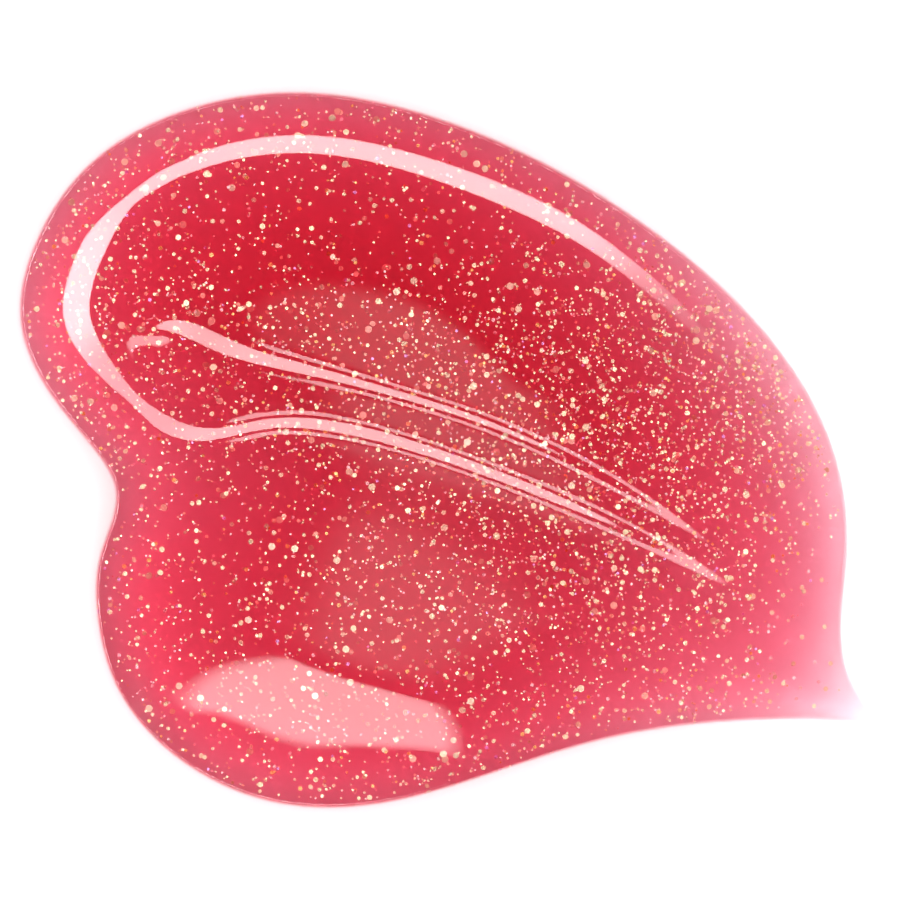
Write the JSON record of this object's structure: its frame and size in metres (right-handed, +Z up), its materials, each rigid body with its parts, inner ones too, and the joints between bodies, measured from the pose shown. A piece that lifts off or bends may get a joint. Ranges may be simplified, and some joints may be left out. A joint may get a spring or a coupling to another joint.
{
  "type": "lip gloss smear",
  "caption": "Smear of glittery coral-pink lip gloss: a two-lobed translucent gel deposit with a soft double fold and a drawn-out tail, holding glitter flakes.",
  "frame": {"origin": "centre of the bounding box in plan, on the flat underside", "axes": "+X along the smear towards its drawn-out tail, +Y across it towards the upper lobe, +Z up from the surface it lies on"},
  "size_m": [0.0258, 0.0215, 0.0027],
  "materials": {
    "gloss_gel": "wet, translucent, high gloss",
    "gold_flake": "metallised film",
    "copper_flake": "metallised film",
    "rose_flake": "pearlescent film",
    "violet_flake": "pearlescent film"
  },
  "bodies": {
    "root": {"upper_lobe": "gloss_gel", "middle_fold": "gloss_gel", "lower_lobe": "gloss_gel", "drawn_tail": "gloss_gel", "coarse_gold_flakes_upper_lobe": "gold_flake", "medium_gold_flakes_upper_lobe": "gold_flake", "copper_flakes_upper_lobe": "copper_flake", "rose_flakes_upper_lobe": "rose_flake", "violet_flakes_upper_lobe": "violet_flake", "coarse_gold_flakes_middle_fold": "gold_flake", "medium_gold_flakes_middle_fold": "gold_flake", "copper_flakes_middle_fold": "copper_flake", "coarse_gold_flakes_lower_lobe": "gold_flake", "medium_gold_flakes_lower_lobe": "gold_flake", "copper_flakes_lower_lobe": "copper_flake", "rose_flakes_lower_lobe": "rose_flake", "violet_flakes_lower_lobe": "violet_flake", "medium_gold_flakes_drawn_tail": "gold_flake", "rose_flakes_drawn_tail": "rose_flake"}
  },
  "joints": []
}
